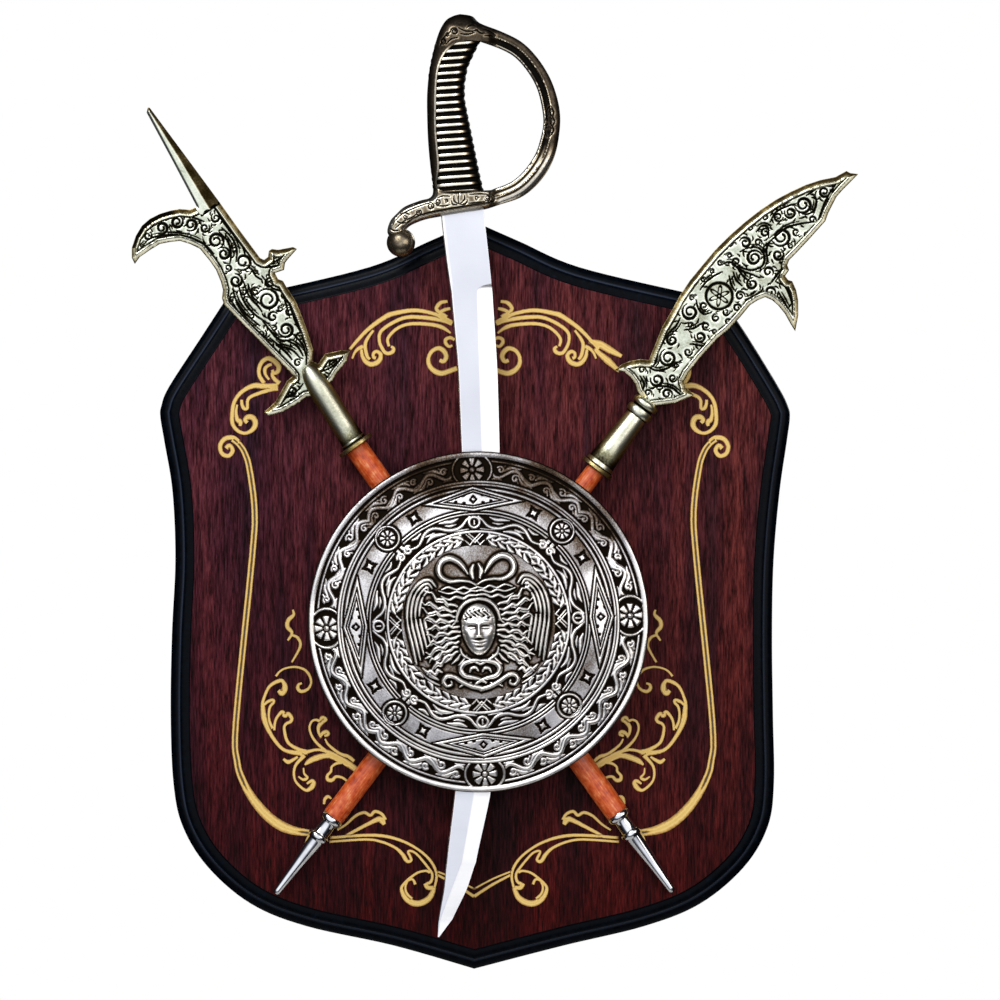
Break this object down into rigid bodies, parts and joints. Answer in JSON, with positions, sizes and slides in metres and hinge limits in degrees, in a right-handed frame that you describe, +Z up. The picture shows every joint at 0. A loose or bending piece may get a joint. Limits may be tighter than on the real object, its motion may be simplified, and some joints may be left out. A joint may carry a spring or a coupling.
{
  "type": "decorative wall plaque",
  "caption": "Escutcheon wall plaque with a domed relief shield over a short sabre and a crossed bill and glaive on wooden poles.",
  "frame": {"origin": "On the flat back face of the board, on the board's centre line, level with the middle of the shield", "axes": "+Z up as the plaque hangs, +X to the right seen from the front, -Y out of the front, so +Y points into the wall"},
  "size_m": [0.3413, 0.0511, 0.4494],
  "materials": {
    "mahogany_printed_board": "fibreboard with a printed mahogany face, gold line scrollwork and a gloss black painted edge",
    "antiqued_zinc_silver": "zinc casting, silver plated, with black antiquing in the hollows",
    "polished_blade_steel": "bright polished steel",
    "dark_bronze": "zinc casting with a dark bronze plate, rubbed bright on the ridges",
    "antiqued_brass": "zinc casting with an antiqued brass plate, engraved lines filled with black",
    "orange_stained_wood": "turned wood, orange-brown stain, satin lacquer",
    "dark_chrome": "dark chromed metal"
  },
  "bodies": {
    "root": {"board": "mahogany_printed_board", "round_shield": "antiqued_zinc_silver", "sabre_blade": "polished_blade_steel", "sabre_hilt": "dark_bronze", "left_polearm_head": "antiqued_brass", "left_pole_shaft": "orange_stained_wood", "left_pole_ferrule": "dark_chrome", "right_polearm_head": "antiqued_brass", "right_pole_shaft": "orange_stained_wood", "right_pole_ferrule": "dark_chrome"}
  },
  "joints": []
}
